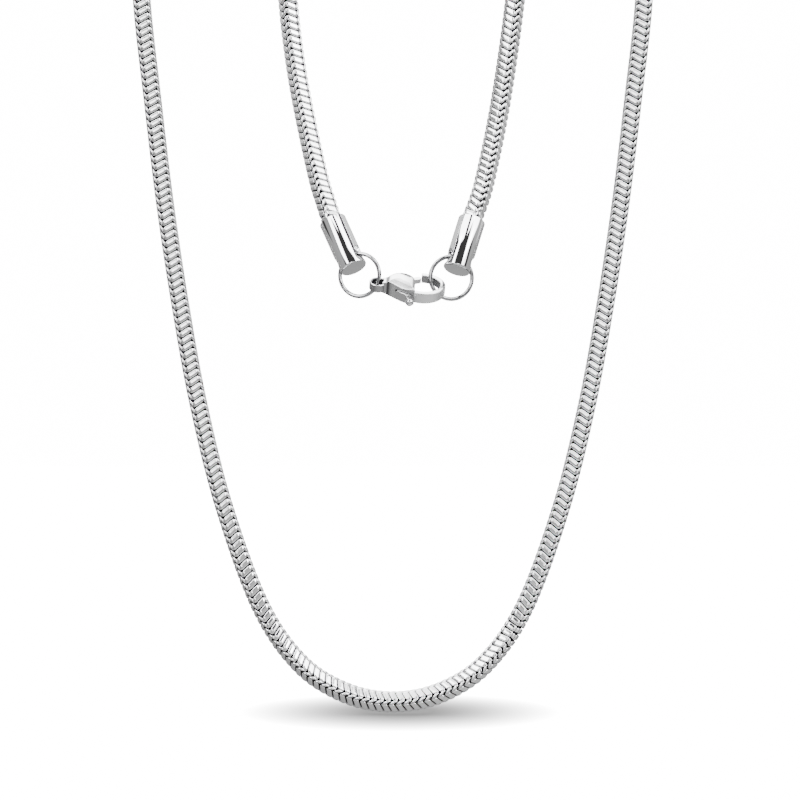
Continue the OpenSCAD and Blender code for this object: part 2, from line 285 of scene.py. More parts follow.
class Groups:
    """The shader effects that the steel finishes share."""

    @staticmethod
    def fresh(name: str, inputs: dict[str, str], outputs: dict[str, str]) -> tuple:
        """Makes an empty node group.

        Args:
            name: name of the group.
            inputs: the type of each socket, by its name.
            outputs: the same for what the group puts out.

        Returns:
            The group, its input node and its output node.
        """
        group = bpy.data.node_groups.new(name, "ShaderNodeTree")
        for sockets, way in ((inputs, "INPUT"), (outputs, "OUTPUT")):
            for label, kind in sockets.items():
                group.interface.new_socket(name=label, in_out=way, socket_type="NodeSocket" + kind)
        return group, group.nodes.new("NodeGroupInput"), group.nodes.new("NodeGroupOutput")

    @staticmethod
    def polish() -> None:
        """Makes the group for uneven polish: roughness, more on painted satin, and the height of fine marks."""
        tree, given, made = Groups.fresh(
            "uneven_polish",
            {label: "Float" for label in ("Broad scale", "Fine scale", "Smoothest", "Roughest", "Satin")},
            {"Roughness": "Float", "Height": "Float"})
        position = new_node(tree, "TexCoord").outputs["Object"]
        broad, fine = (new_node(tree, "TexNoise", {
            "Vector": position, "Scale": given.outputs[scale], "Detail": detail}).outputs["Fac"]
            for scale, detail in (("Broad scale", 3), ("Fine scale", 2)))
        blend = new_node(tree, "Math", {0: broad, 1: fine}, operation="MULTIPLY")
        spread = new_node(tree, "MapRange", {
            "Value": blend.outputs[0], "From Min": 0.15, "From Max": 0.38,
            "To Min": given.outputs["Smoothest"], "To Max": given.outputs["Roughest"]})
        painted = new_node(tree, "Attribute", attribute_name="satin")
        rougher = new_node(tree, "Math", {
            0: painted.outputs["Fac"], 1: given.outputs["Satin"], 2: spread.outputs["Result"]},
            operation="MULTIPLY_ADD")
        tree.links.new(rougher.outputs[0], made.inputs["Roughness"])
        tree.links.new(fine, made.inputs["Height"])

    @staticmethod
    def shadowed() -> None:
        """Makes the group for metal that is darker where painted shade is stored on the mesh, and a little
        darker at random.
        """
        tree, given, made = Groups.fresh(
            "mottle_and_shade_tone", {"Open": "Color", "Shade and mottle": "Color", "Variation": "Float", "Scale": "Float"},
            {"Colour": "Color"})
        # The painted shade stored on the mesh's points, plus random mottle, sets how far the colour goes
        # towards the dark tone.
        painted = new_node(tree, "Attribute", attribute_name="painted_shade")
        position = new_node(tree, "TexCoord").outputs["Object"]
        noise = new_node(tree, "TexNoise", {"Vector": position, "Scale": given.outputs["Scale"], "Detail": 2})
        amount = new_node(tree, "Math", {
            0: noise.outputs["Fac"], 1: given.outputs["Variation"], 2: painted.outputs["Fac"]},
            operation="MULTIPLY_ADD", use_clamp=True)
        mix = new_node(tree, "Mix", {
            "Factor": amount.outputs[0], "A": given.outputs["Open"], "B": given.outputs["Shade and mottle"]},
            data_type="RGBA")
        tree.links.new(mix.outputs["Result"], made.inputs["Colour"])


@dataclass(frozen=True)
class SteelFinish:
    """Stainless steel with an uneven polish and a little random mottle, darker where shade is painted on."""

    name: str
    open_tone: tuple[float, float, float] = (0.84, 0.845, 0.85)
    # The dark tone that the painted shade and the random mottle mix towards.
    mottle_and_shade_tone: tuple[float, float, float] = (0.11, 0.11, 0.112)
    smoothest: float = 0.08
    roughest: float = 0.14
    broad_scale: float = 160
    fine_scale: float = 2600
    satin: float = 0.0
    variation: float = 0.05
    mark_depth: float = 0.02

    def material(self) -> Material:
        """Builds the material and returns it."""
        material = bpy.data.materials.new(self.name)
        material.use_nodes = True
        tree, groups = material.node_tree, bpy.data.node_groups
        metal = tree.nodes["Principled BSDF"]
        metal.inputs["Metallic"].default_value = 1.0
        polish = new_node(tree, "Group", {
            "Broad scale": self.broad_scale, "Fine scale": self.fine_scale, "Smoothest": self.smoothest,
            "Roughest": self.roughest, "Satin": self.satin}, node_tree=groups["uneven_polish"])
        tone = new_node(tree, "Group", {
            "Open": (*self.open_tone, 1), "Shade and mottle": (*self.mottle_and_shade_tone, 1), "Variation": self.variation,
            "Scale": self.broad_scale}, node_tree=groups["mottle_and_shade_tone"])
        bump = new_node(tree, "Bump", {
            "Strength": self.mark_depth, "Distance": MM / 10, "Height": polish.outputs["Height"]})
        for node, result, socket in ((tone, "Colour", "Base Color"), (polish, "Roughness", "Roughness"),
                                     (bump, "Normal", "Normal")):
            tree.links.new(node.outputs[result], metal.inputs[socket])
        return material


class Steel(Enum):
    """The finishes of the necklace."""

    LINKS = SteelFinish("polished_link_steel")
    CAPS = SteelFinish("polished_cap_steel", smoothest=0.015, roughest=0.04)
    # The ring steel is a much darker copy of the same steel: painted shade for the dark wires.
    RINGS = SteelFinish("drawn_wire_steel", open_tone=(0.37, 0.373, 0.38), smoothest=0.05, roughest=0.10)
    CLASP = SteelFinish("cast_clasp_steel", open_tone=(0.75, 0.754, 0.76), mottle_and_shade_tone=(0.06, 0.06, 0.062),
                        smoothest=0.10, roughest=0.20, satin=0.28, variation=0.2, mark_depth=0.05)
    LEVER = SteelFinish("pressed_lever_steel", open_tone=(0.72, 0.724, 0.73))


def dress(thing: Object, steel: Steel, slot: str, body: str, *nodes: str) -> Object:
    """Gives a piece its finish, its place among the CAD bodies and the nodes that it stands for.

    Args:
        thing: the piece.
        steel: its finish.
        slot: material slot of the record; not used.
        body: CAD body that it moves with.
        nodes: CAD nodes that it replaces.

    Returns:
        The piece.
    """
    finish = bpy.data.materials.get(steel.value.name) or steel.value.material()
    thing.data.materials.clear()
    thing.data.materials.append(finish)
    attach(thing, body)
    if nodes:
        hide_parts(*nodes)
    log.info("%s: %d faces, rides on %s", thing.name, len(thing.data.polygons), body)
    return thing


# Where things hang

@dataclass(frozen=True)
class Hanging:
    """Where the two jump rings, the two caps and the clasp hang."""

    ring_r: float = 4.0
    left_ring_at: tuple[float, float, float] = (-6.2, -15.5, -72.9)
    left_ring_turn: float = -22
    right_ring_turn: float = 12
    left_cap_lean: float = -31
    left_cap_tip: float = -14
    left_cap_aside: float = -0.2
    right_cap_lean: float = 22
    right_cap_tip: float = -20
    right_cap_aside: float = 0.25
    wire_off_middle: float = 0.45
    clasp_dip: float = 33
    clasp_slope: float = 4.5
    eye_ring_angle: float = -28
    eye_out: float = 0.12
    hook_ring_angle: float = 203
    hook_ring_along: float = 10.2
    hook_ring_far: float = 1.15

    def on_ring(self, angle: float) -> Vector:
        """Returns the middle of a ring's wire at an angle, from the ring's middle."""
        return Vector((math.cos(math.radians(angle)), 0, math.sin(math.radians(angle)))) * self.ring_r

    def clasp(self) -> Matrix:
        """Returns the clasp's own frame, whose origin is the middle of its eye."""
        tilt = turned("Y", self.clasp_slope) @ turned("X", self.clasp_dip)
        eye = self.left_ring() @ self.on_ring(self.eye_ring_angle) + tilt @ Vector((self.eye_out, 0, 0))
        return Matrix.Translation(eye) @ tilt

    def left_ring(self) -> Matrix:
        """Returns the left jump ring's frame."""
        return moved(*self.left_ring_at) @ turned("Z", self.left_ring_turn)

    def right_ring(self) -> Matrix:
        """Returns the right jump ring's frame."""
        wire = self.clasp() @ Vector((self.hook_ring_along, self.hook_ring_far, 0))
        turn = turned("Z", self.right_ring_turn)
        return Matrix.Translation(wire - turn @ self.on_ring(self.hook_ring_angle)) @ turn

    def cap_on_wire(self, lean: float, aside: float, tip: float) -> Matrix:
        """Returns a cap's frame counted from its ring's: a little along the wire, and tipped forward."""
        return turned("Y", lean) @ moved(aside, 0, self.ring_r - self.wire_off_middle) @ turned("X", tip)

    def left_cap(self) -> Matrix:
        """Returns the left cap's frame: the middle of its cross hole, with Z towards the chain."""
        return self.left_ring() @ self.cap_on_wire(self.left_cap_lean, self.left_cap_aside, self.left_cap_tip)

    def right_cap(self) -> Matrix:
        """Returns the right cap's frame."""
        on_wire = self.cap_on_wire(self.right_cap_lean, self.right_cap_aside, self.right_cap_tip)
        return self.right_ring() @ on_wire


@dataclass
class EndCap:
    """A drilled cylinder that holds one end of the chain."""

    radius: float = 2.5832
    bore_r: float = 2.1832
    hole_r: float = 1.65
    bottom: float = -1.95
    seat: float = 3.05
    mouth: float = 8.85
    bevel: float = 0.16
    steps: int = 96
    drill_half: float = 4
    drill_steps: int = 72
    # Edges sharper than an angle are broken by a width. Faces that meet at less than smooth_below look smooth.
    edge_angle: float = 50
    edge_width: float = 0.07
    smooth_below: float = 32
    # How much painted shade darkens the bore and the cross hole, from a little above the closed end.
    inside_shade: float = 0.35
    inside_margin: float = 0.02
    inside_from: float = 0.1

    def build(self, name: str, at: Matrix) -> Object:
        """Builds the cap at its place and returns it."""
        soft = self.bevel * 0.3
        r, b = self.radius, self.bevel
        cap = revolved(name, [
            (0, self.bottom), (r - b, self.bottom), (r - soft, self.bottom + soft), (r, self.bottom + b),
            (r, self.mouth - b / 2), (r - b / 4, self.mouth - b / 8), (r - b / 2, self.mouth),
            (self.bore_r + b / 3, self.mouth), (self.bore_r, self.mouth - b / 3),
            (self.bore_r, self.seat), (0, self.seat)], self.steps)
        drill = rod("drill", self.hole_r, self.drill_half, self.drill_steps)
        drill.data.transform(turned("Y", 90))
        cut(cap, drill)
        edges = cap.modifiers.new("edges", "BEVEL")
        edges.limit_method = "ANGLE"
        edges.angle_limit = math.radians(self.edge_angle)
        edges.width = self.edge_width
        edges.segments = 2
        settle(cap)
        local = points_of(cap)
        inside = np.hypot(local[:, 0], local[:, 1]) < self.bore_r + self.inside_margin
        above = local[:, 2] > self.bottom + self.inside_from
        # Painted shade inside the bore and the cross hole.
        paint(cap, "painted_shade", self.inside_shade * (inside & above))
        place(cap, at)
        shade(cap, self.smooth_below)
        return cap


@dataclass
class JumpRing:
    """A closed ring of round wire."""

    radius: float = 4.0
    wire_r: float = 0.4
    wire_steps: int = 24
    ring_steps: int = 128

    def build(self, name: str, at: Matrix) -> Object:
        """Builds the ring at its place and returns it."""
        turn = full_turn(self.wire_steps)
        outline = zip(self.radius + self.wire_r * np.cos(turn), self.wire_r * np.sin(turn))
        ring = revolved(name, list(outline), self.ring_steps)
        place(ring, at @ turned("X", 90))
        shade(ring)
        return ring


# The chain

@dataclass
class ChainRoute:
    """The smooth line that the chain follows, from the left cap to the right cap. Rows are X, Y, Z and roll."""

    hanging: Hanging
    left_back: tuple = (
        (-12.8, -9.6, -58.5, -27), (-14.0, -8.2, -54.6, -26), (-16.2, -4.9, -44.9, -24),
        (-18.1, -2.4, -35.2, -22), (-19.5, -0.9, -25.5, -20), (-20.5, -0.1, -16.0, -18))
    left_bend: tuple = (
        (-22.2, 0, -6.6, -15), (-27.7, 0, -0.4, -11), (-35.8, 0, 1.6, -7),
        (-43.4, 0, -1.4, -2), (-48.0, 0, -8.0, 2))
    front_left: tuple = (
        (-48.1, 0, -19.7, 4), (-45.9, 0, -39.9, 4), (-43.6, 0, -59.0, 4), (-40.7, 0, -78.2, 4),
        (-37.2, 0, -97.3, 5), (-32.4, 0, -116.5, 7), (-25.4, 0, -135.7, 14), (-17.8, 0, -146.8, 28),
        (-9.2, 0, -152.4, 41))
    bottom: tuple = (0, 0, -154.2, 45)
    right_bend: tuple = (
        (47.8, 0, -7.0, 1), (43.6, 0, -0.6, -4), (36.5, 0, 1.6, -10),
        (29.5, 0, -0.7, -16), (25.3, 0, -7.2, -21))
    right_back: tuple = (
        (23.9, -0.1, -16.0, -24), (22.7, -0.9, -25.5, -26), (21.3, -2.5, -35.2, -27),
        (19.6, -4.9, -44.9, -27), (17.5, -8.2, -54.6, -27), (16.4, -9.7, -58.5, -27))
    cap_roll: float = -27
    run_out: float = 1.2
    end_gap: float = 0.05
    samples: int = 60

    def __post_init__(self) -> None:
        """Joins the rows into one route and measures it."""
        cap = EndCap()
        heights = [cap.seat + self.end_gap, cap.mouth, cap.mouth + self.run_out]
        ends = [[[*(at @ Vector((0, 0, z))), self.cap_roll] for z in heights]
                for at in (self.hanging.left_cap(), self.hanging.right_cap())]
        front_right = [[-x, y, z, roll] for x, y, z, roll in reversed(self.front_left)]
        self.rows = np.array([*ends[0], *self.left_back, *self.left_bend, *self.front_left, self.bottom,
                              *front_right, *self.right_bend, *self.right_back, *reversed(ends[1])], float)
        shares = np.arange((len(self.rows) - 1) * self.samples + 1) / self.samples
        places = self.at_share(shares)[0]
        steps = np.linalg.norm(np.diff(places[:, :3], axis=0), axis=1)
        self.shares, self.lengths = shares, np.concatenate([[0], np.cumsum(steps)])
        self.length = float(self.lengths[-1])

    def at_share(self, share: np.ndarray) -> tuple[np.ndarray, np.ndarray]:
        """Reads the smooth curve through the rows.

        Args:
            share: numbers of rows, with fractions.

        Returns:
            The curve's X, Y, Z and roll there, and its headings.
        """
        last = len(self.rows) - 1
        i = np.clip(share.astype(int), 0, last - 1)
        t = (share - i)[:, None]
        p0, p1 = self.rows[np.maximum(i - 1, 0)], self.rows[i]
        p2, p3 = self.rows[i + 1], self.rows[np.minimum(i + 2, last)]
        slope, square, cube = p2 - p0, 2 * p0 - 5 * p1 + 4 * p2 - p3, 3 * p1 - p0 - 3 * p2 + p3
        here = p1 + 0.5 * (slope * t + square * t ** 2 + cube * t ** 3)
        along = (slope + 2 * square * t + 3 * cube * t ** 2)[:, :3]
        return here, along / np.linalg.norm(along, axis=1, keepdims=True)

    def at_length(self, length: np.ndarray) -> tuple[np.ndarray, np.ndarray, np.ndarray, np.ndarray]:
        """Gives the chain's place and directions at lengths from the left cap.

        Args:
            length: lengths along the chain.

        Returns:
            The chain's middle, the ways that its first and its next face look, and its heading.
        """
        here, along = self.at_share(np.interp(length, self.lengths, self.shares))
        front = np.array([0.0, -1.0, 0.0]) - along * -along[:, 1:2]
        front /= np.linalg.norm(front, axis=1, keepdims=True)
        outward = np.cross(along, front)
        roll = np.radians(here[:, 3:4])
        face = front * np.cos(roll) - outward * np.sin(roll)
        side = front * np.sin(roll) + outward * np.cos(roll)
        return here[:, :3], face, side, along

    def length_at(self, x: float, z: float) -> float:
        """Returns the length along the chain of its point nearest to X and Z in the front plane."""
        places = self.at_share(self.shares)[0]
        return float(self.lengths[np.argmin(np.hypot(places[:, 0] - x, places[:, 2] - z))])


class Lay(Enum):
    """Which way the wave of a link climbs."""

    INWARD = 1
    OUTWARD = -1


@dataclass
class SnakeLink:
    """One wavy ring of the chain: a facet on each side, a bead at each corner, a skirt into the next ring."""

    face_r: float = 1.75
    corner_r: float = 2.093
    half_height: float = 0.62
    wave: float = 0.43
    face_span: float = 35.5
    # The neck between a facet and a bead: its angle from the facet's middle, its reach in degrees, its depth.
    neck_at: float = 33.5
    neck_reach: float = 4.2
    neck_depth: float = 0.15
    # How much lower the ring stands at a neck, which rounds a facet's ends, and how much painted shade darkens
    # it there.
    neck_low: float = 0.26
    neck_shade: float = 0.75
    # The bead: its reach in degrees, how much lower than a facet it stands, and how much rounder it is.
    bead_reach: float = 8.5
    bead_low: float = 0.12
    bead_round: float = 0.21
    # Angles of a facet, from its middle, then of the corner after it.
    stops: tuple = (-27, -18, -6, 6, 18, 27, 30.5, 33.5, 36.5, 40.5, 45, 49.5, 53.5, 56.5, 59.5)
    # Columns: distance out from the outside, height as a share of half_height, a fixed height, painted shade.
    profile: tuple = ((-0.34, -1, 0, 0.85), (-0.19, -0.94, 0, 0.5), (-0.09, -0.84, 0, 0.2),
                      (-0.03, -0.71, 0, 0), (-0.004, -0.52, 0, 0), (0, 0, 0, 0), (-0.004, 0.52, 0, 0),
                      (-0.03, 0.71, 0, 0), (-0.09, 0.84, 0, 0.2), (-0.19, 0.94, 0, 0.5), (-0.34, 1, 0, 0.85),
                      (-0.50, 1, 0.06, 1), (-0.56, 0, 1.10, 1), (-0.70, 0, 1.10, 1), (-0.62, -0.55, 0, 1))

    def angles(self) -> np.ndarray:
        """Returns the angles of the points round the ring, in degrees."""
        return np.concatenate([np.array(self.stops) + 90 * face for face in range(4)])

    def from_face(self, angle: np.ndarray) -> np.ndarray:
        """Returns each angle as counted from the middle of its own quarter, from -45 to 45."""
        return (angle + 45) % 90 - 45

    def radius(self, angle: np.ndarray) -> np.ndarray:
        """Returns the distance out from the middle: a square with round corners, each between two necks."""
        local = np.radians(np.abs(self.from_face(angle)))
        fillet = (self.face_r * math.sqrt(2) - self.corner_r) / (math.sqrt(2) - 1)
        middle = self.face_r - fillet
        flat = self.face_r / np.cos(local)
        both = np.cos(local) + np.sin(local)
        bent = middle * both + np.sqrt(np.maximum(fillet ** 2 + (middle * both) ** 2 - 2 * middle ** 2, 0))
        square = np.where(np.tan(local) <= middle / self.face_r, flat, bent)
        return square - self.neck_depth * self.neck(angle)

    def neck(self, angle: np.ndarray) -> np.ndarray:
        """Returns 1 in the middle of each neck and 0 away from it."""
        return np.exp(-((np.abs(self.from_face(angle)) - self.neck_at) / self.neck_reach) ** 2)

    def shift(self, angle: np.ndarray) -> np.ndarray:
        """Returns how far the ring climbs at each angle: slowly over a face, and back at a corner."""
        fine = np.arange(0, 360, 0.5)
        local = self.from_face(fine)
        climb = np.where(np.abs(local) <= self.face_span, -local / self.face_span,
                         np.sign(local) * (np.abs(local) - 45) / (45 - self.face_span))
        window = np.hanning(17)
        smooth = np.convolve(np.concatenate([climb, climb, climb]), window / window.sum(), "same")[720:1440]
        return self.wave * np.interp(angle % 360, fine, smooth, period=360)

    def rings(self) -> tuple[np.ndarray, np.ndarray, np.ndarray]:
        """Draws one link about its own axis.

        Returns:
            Its points, with each one's place towards the face, towards the side and along the chain. Then how
            far each point shifts, and how much painted shade darkens it.
        """
        angle = self.angles()
        inward, share, height, painted_shade = (np.array(column) for column in zip(*self.profile))
        bead = np.exp(-((np.abs(self.from_face(angle)) - 45) / self.bead_reach) ** 2)[:, None]
        neck = self.neck(angle)[:, None]
        out = self.radius(angle)[:, None] + inward - self.bead_round * bead * share ** 2
        up = (1 - self.bead_low * bead - self.neck_low * neck) * share * self.half_height + height
        turn = np.radians(angle)[:, None]
        points = np.stack([out * np.cos(turn), out * np.sin(turn), up], axis=-1)
        shift = np.broadcast_to(self.shift(angle)[:, None], out.shape)
        return points, shift, np.maximum(painted_shade, self.neck_shade * neck ** 3)


@dataclass
class SnakeChain:
    """The chain: a row of links along the route, in four lengths of one mesh each."""

    route: ChainRoute
    link: SnakeLink
    pitch: float = 1.35
    turnover: int = 7
    # Room left before the first link and after the last.
    start_room: float = 0.02
    end_room: float = 1.25
    lowest: tuple = (0, -154.2)
    # X and Z where the lay changes: in the left bend and at the lower right.
    first_change: tuple = (-35.8, 1.6)
    second_change: tuple = (22.8, -140.4)

    def build(self) -> list[Object]:
        """Builds the four lengths and returns them."""
        low_end = self.link.half_height + self.link.wave + self.start_room
        starts = np.arange(low_end, self.route.length, self.pitch)
        starts = starts[starts < self.route.length - self.end_room]
        middle, face, side, along = self.route.at_length(starts)
        points, shift, painted_shade = self.link.rings()
        lay = self.lay(starts)
        local = np.broadcast_to(points, (len(starts), *points.shape)).copy()
        local[..., 2] += lay[:, None, None] * shift
        basis = np.stack([face, side, along], axis=1)
        placed = np.einsum("nabi,nij->nabj", local, basis) + middle[:, None, None, :]
        half = self.route.length_at(*self.lowest)
        cuts = [0, half / 2, half, (half + self.route.length) / 2, self.route.length + 1]
        names = ("left_upper", "left_lower", "right_lower", "right_upper")
        pieces = []
        for name, low, high in zip(names, cuts, cuts[1:]):
            chosen = placed[(starts >= low) & (starts < high)]
            around, along_it = chosen.shape[1:3]
            faces = grid_faces(around, along_it)
            faces = (faces[None] + np.arange(len(chosen))[:, None, None] * around * along_it).reshape(-1, 4)
            piece = mesh_object(f"chain_links_{name}", chosen.reshape(-1, 3) * MM, faces)
            # Painted shade in the grooves and necks between the links.
            paint(piece, "painted_shade", np.broadcast_to(painted_shade, chosen.shape[:3]).ravel())
            node = "chain_left" if high <= half else "chain_right"
            pieces.append(dress(piece, Steel.LINKS, "chain_steel", NECKLACE, node))
        return pieces

    def lay(self, starts: np.ndarray) -> np.ndarray:
        """Returns the lay of the link at each start, with a short blend at the two changes."""
        first = self.route.length_at(*self.first_change)
        second = self.route.length_at(*self.second_change)
        width = self.turnover * self.pitch / 2
        to_outward = np.clip((starts - first) / width, -1, 1)
        back_inward = np.clip((starts - second) / width, -1, 1)
        return np.where(starts < (first + second) / 2, Lay.OUTWARD.value * to_outward,
                        Lay.INWARD.value * back_inward)


# The clasp

@dataclass
class Lobster:
    """The lobster clasp: a cast body with its eye and hook, and a lever on a pin."""

    hanging: Hanging
    eye_hole_r: float = 1.1
    eye_r: float = 1.6
    eye_t: float = 1.6
    eye_bevel: float = 0.25
    body_len: float = 7
    body_w: float = 6
    body_t: float = 3.9
    hook_a: float = 4.3
    hook_b: float = 3.8
    hook_mid: float = 8.4
    hook_band: float = 1.0
    hook_near_t: float = 2.2
    hook_far_t: float = 1.6
    hook_from: float = -128
    hook_to: float = 94
    pivot: tuple = (4.3, 0.2)
    pin_r: float = 0.4
    pin_half: float = 1.75
    gate_elbow: tuple = (1.75, 2.0)
    gate_tip: tuple = (3.3, 2.65)
    knob_at: tuple = (1.9, -4.95)
    knob_r: float = 0.79
    arm_r: float = 0.45
    hub_r: float = 0.95
    lever_t: float = 1.0
    # How far the knob and the leaf lie below the middle of the lever.
    knob_drop: float = 0.3
    leaf_drop: float = 0.34
    slot_gap: float = 0.12
    gate_open: int = 30
    # The leaf along the near wall: its ends, its height, thickness and gap, and its round end.
    leaf_from: float = 3.35
    leaf_to: float = 6.35
    leaf_h: float = 2.0
    leaf_t: float = 0.3
    leaf_gap: float = 0.08
    leaf_round: tuple = ((0, 0.4), (0.12, 0.8), (0.35, 1))
    # How round the corners of the hook's band and of the leaf are, from 0 to 1.
    hook_round: float = 0.24
    leaf_corner: float = 0.6
    eye_soft: float = 0.12
    pin_gap: float = 0.05
    # Size of the faces that fusing gives the slot's tool, the body and the lever, and how often it smooths.
    slot_grain: float = 0.06
    body_grain: float = 0.066
    body_smoothing: int = 2
    lever_grain: float = 0.046
    lever_smoothing: int = 4
    # Columns: length as a share of body_len, far and near half width as shares of body_w / 2.
    outline: tuple = ((0.14, 0.38, 0.32), (0.29, 0.42, 0.33), (0.36, 0.57, 0.43), (0.47, 0.74, 0.65),
                      (0.64, 0.90, 0.95), (0.76, 0.89, 1.09), (0.87, 0.72, 1.16), (0.94, 0.45, 1.17),
                      (1.00, 0.16, 1.15))
    # Columns: length as a share of body_len, and half thickness as a share of body_t / 2.
    thickness: tuple = ((0.12, 0.56), (0.22, 0.64), (0.31, 0.84), (0.39, 0.92), (0.50, 0.98), (0.60, 1.00),
                        (0.85, 1.00), (0.94, 0.92), (1.04, 0.74))
    # How far the corners of those two tables are eased, as a share of body_len, and the crown's, in mm.
    length_ease: float = 0.045
    crown_ease: float = 0.3
    # The body is crowned along its near edge, which runs from here at this angle.
    # Columns: distance in from that edge, and half thickness as a share of body_t / 2.
    crown_from: tuple = (2.54, -1.35)
    crown_turn: float = -33.4
    crown: tuple = ((-1.0, 0.62), (0, 0.79), (1.0, 0.92), (2.0, 1.00), (3.2, 1.00), (4.2, 0.93), (5.4, 0.78))

    def capsule(self, name: str, a: tuple, b: tuple, r: float, half: float) -> Object:
        """Makes a flat bar with round ends.

        Args:
            name: name of the object.
            a: middle of one end.
            b: middle of the other end.
            r: half its width.
            half: half its thickness.

        Returns:
            The bar as an object.
        """
        heading = math.atan2(b[1] - a[1], b[0] - a[0])
        half_turn = np.linspace(-math.pi / 2, math.pi / 2, 17)
        ends = []
        for end, side in ((b, 0), (a, math.pi)):
            turn = heading + side + half_turn
            ends.append(np.stack([end[0] + r * np.cos(turn), end[1] + r * np.sin(turn)], -1))
        outline = np.concatenate(ends)
        return closed_loft(name, [np.column_stack([outline, np.full(len(outline), z)]) for z in (-half, half)])

    def lever_plates(self, grow: float, half: float) -> list[Object]:
        """Returns the flat bars of the lever, counted from its pivot, made bigger by grow."""
        origin, beside = (0.0, 0.0), (0.001, 0)
        bars = (("hub", origin, beside, self.hub_r), ("gate_arm", origin, self.gate_elbow, self.arm_r),
                ("gate_tip", self.gate_elbow, self.gate_tip, self.arm_r),
                ("thumb_arm", origin, self.knob_at, self.arm_r))
        return [self.capsule(name, a, b, r + grow, half) for name, a, b, r in bars]

    def eased(self, table: tuple, column: int, at: np.ndarray, reach: float) -> np.ndarray:
        """Reads a column of one of the body's tables, with the corners between its rows eased.

        Args:
            table: rows that start with the place that they hold for.
            column: the column to read.
            at: the places to read it at.
            reach: how far on each side of a corner it is eased.

        Returns:
            The values.
        """
        rows = np.array(table)
        fine = np.linspace(rows[0, 0] - 2 * reach, rows[-1, 0] + 2 * reach, 400)
        window = np.hanning(2 * round(reach / (fine[1] - fine[0])) + 3)
        padded = np.pad(np.interp(fine, rows[:, 0], rows[:, column]), len(window) // 2, "edge")
        return np.interp(at, fine, np.convolve(padded, window / window.sum(), "valid"))

    def along_body(self, table: tuple, column: int, share: np.ndarray) -> np.ndarray:
        """Reads a column of the body's outline or thickness at shares of its length."""
        return self.eased(table, column, share, self.length_ease)

    def body_shell(self) -> Object:
        """Makes the teardrop: sections with crowned top and bottom, a plain near wall and a round far edge."""
        across = -np.cos(np.linspace(0, math.pi, 36))
        far_edge = np.maximum(1 - np.maximum(across, 0) ** 10, 0) ** 0.4
        turn = math.radians(-self.crown_turn)
        rings = []
        for share in np.linspace(0.12, 1.0, 60):
            far, near = (self.along_body(self.outline, column, share) * self.body_w / 2 for column in (1, 2))
            aside = (far - near) / 2 + (far + near) / 2 * across
            along = share * self.body_len
            inward = ((along - self.crown_from[0]) * math.sin(turn)
                      + (aside - self.crown_from[1]) * math.cos(turn))
            crowned = self.eased(self.crown, 1, inward, self.crown_ease)
            high = np.minimum(self.along_body(self.thickness, 1, share), crowned) * self.body_t / 2 * far_edge
            wide, tall = np.concatenate([aside, aside[-2::-1]]), np.concatenate([high, -high[-2::-1]])
            rings.append(np.column_stack([np.full(len(wide), along), wide, tall]))
        return closed_loft("teardrop", rings)

    def hook(self) -> Object:
        """Makes the hook: a band along an arc, flat on top, whose underside rises on the gate's side."""
        wide, high = soft_square(28, self.hook_round)
        radii = np.array([self.hook_a, self.hook_b])
        rings = []
        for angle in np.radians(np.linspace(self.hook_from, self.hook_to, 72)):
            heading = np.array([math.cos(angle), math.sin(angle)])
            outer, inner = radii * heading, (radii - self.hook_band) * heading
            flat = (outer + inner) / 2 + (outer - inner) / 2 * wide[:, None]
            near_to_far = (-self.hook_b, self.hook_b)
            half = np.interp(flat[:, 1], near_to_far, (self.hook_near_t, self.hook_far_t)) / 2
            up = self.hook_near_t / 2 - half + high * half
            rings.append(np.column_stack([flat[:, 0] + self.hook_mid, flat[:, 1], up]))
        return closed_loft("hook", rings)

    def eye(self) -> Object:
        """Makes the eye: a flat ring whose hole is opened out at both rims."""
        half, r, hole = self.eye_t / 2, self.eye_r, self.eye_hole_r
        bevel, soft = self.eye_bevel, self.eye_soft
        return revolved("eye", [
            (hole + bevel, -half), (r - soft, -half), (r, -half + soft), (r, half - soft),
            (r - soft, half), (hole + bevel, half), (hole, half - bevel), (hole, -half + bevel)], 64)

    def leaf(self) -> Object:
        """Makes the leaf that covers the slot from outside, counted from the lever's middle at the pivot."""
        wide, high = soft_square(24, self.leaf_corner)
        rings = []
        for along in np.linspace(self.leaf_from, self.leaf_to, 26):
            wall = -self.along_body(self.outline, 2, along / self.body_len) * self.body_w / 2
            middle = wall - self.leaf_gap - self.leaf_t / 2
            tall = np.interp(along - self.leaf_from, *np.array(self.leaf_round).T) * self.leaf_h / 2
            out = middle - self.pivot[1] + wide * self.leaf_t / 2
            up = high * tall - self.leaf_drop
            rings.append(np.column_stack([np.full(len(wide), along - self.pivot[0]), out, up]))
        return closed_loft("leaf", rings)

    def mark_casting(self, thing: Object) -> None:
        """Marks the casting's walls as satin, and paints shade on its hollows, on walls by the eye, the lever
        and the hook, and on the end of its top.
        """
        normals, points = normals_of(thing), points_of(thing)
        wall = np.clip((0.75 - np.abs(normals[:, 2])) / 0.3, 0, 1)
        along, across = points[:, 0], points[:, 1]
        # Painted shade, by place.
        shaded = {
            "hole of the eye": 0.9 * ((np.hypot(along, across) < self.eye_hole_r + 0.12) & (wall > 0.2)),
            "wall of the eye": 0.55 * wall * (along < 1.7),
            "neck": 0.9 * np.exp(-((along - 1.9) / 0.46) ** 2) * (0.35 + 0.65 * wall) * (across < 0.6),
            "corner by the lever": wall * np.interp(along, (3.2, 6.6, 7.3), (0.0, 0.55, 0.0)) * (across < -1),
            "end of the teardrop": (1 - wall) * np.interp(along, (4.6, 6.9, 7.1), (0, 0.6, 0)) * (across > -3),
            "inside of the hook": 0.6 * wall * (along > 10.6) * np.clip(-1.6 * normals[:, 0], 0, 1),
            "tip of the hook": 0.65 * wall * (along > 7.1) * (across > 1.5)}
        paint(thing, "satin", wall)
        paint(thing, "painted_shade", np.clip(np.maximum.reduce(list(shaded.values())), 0, 1))

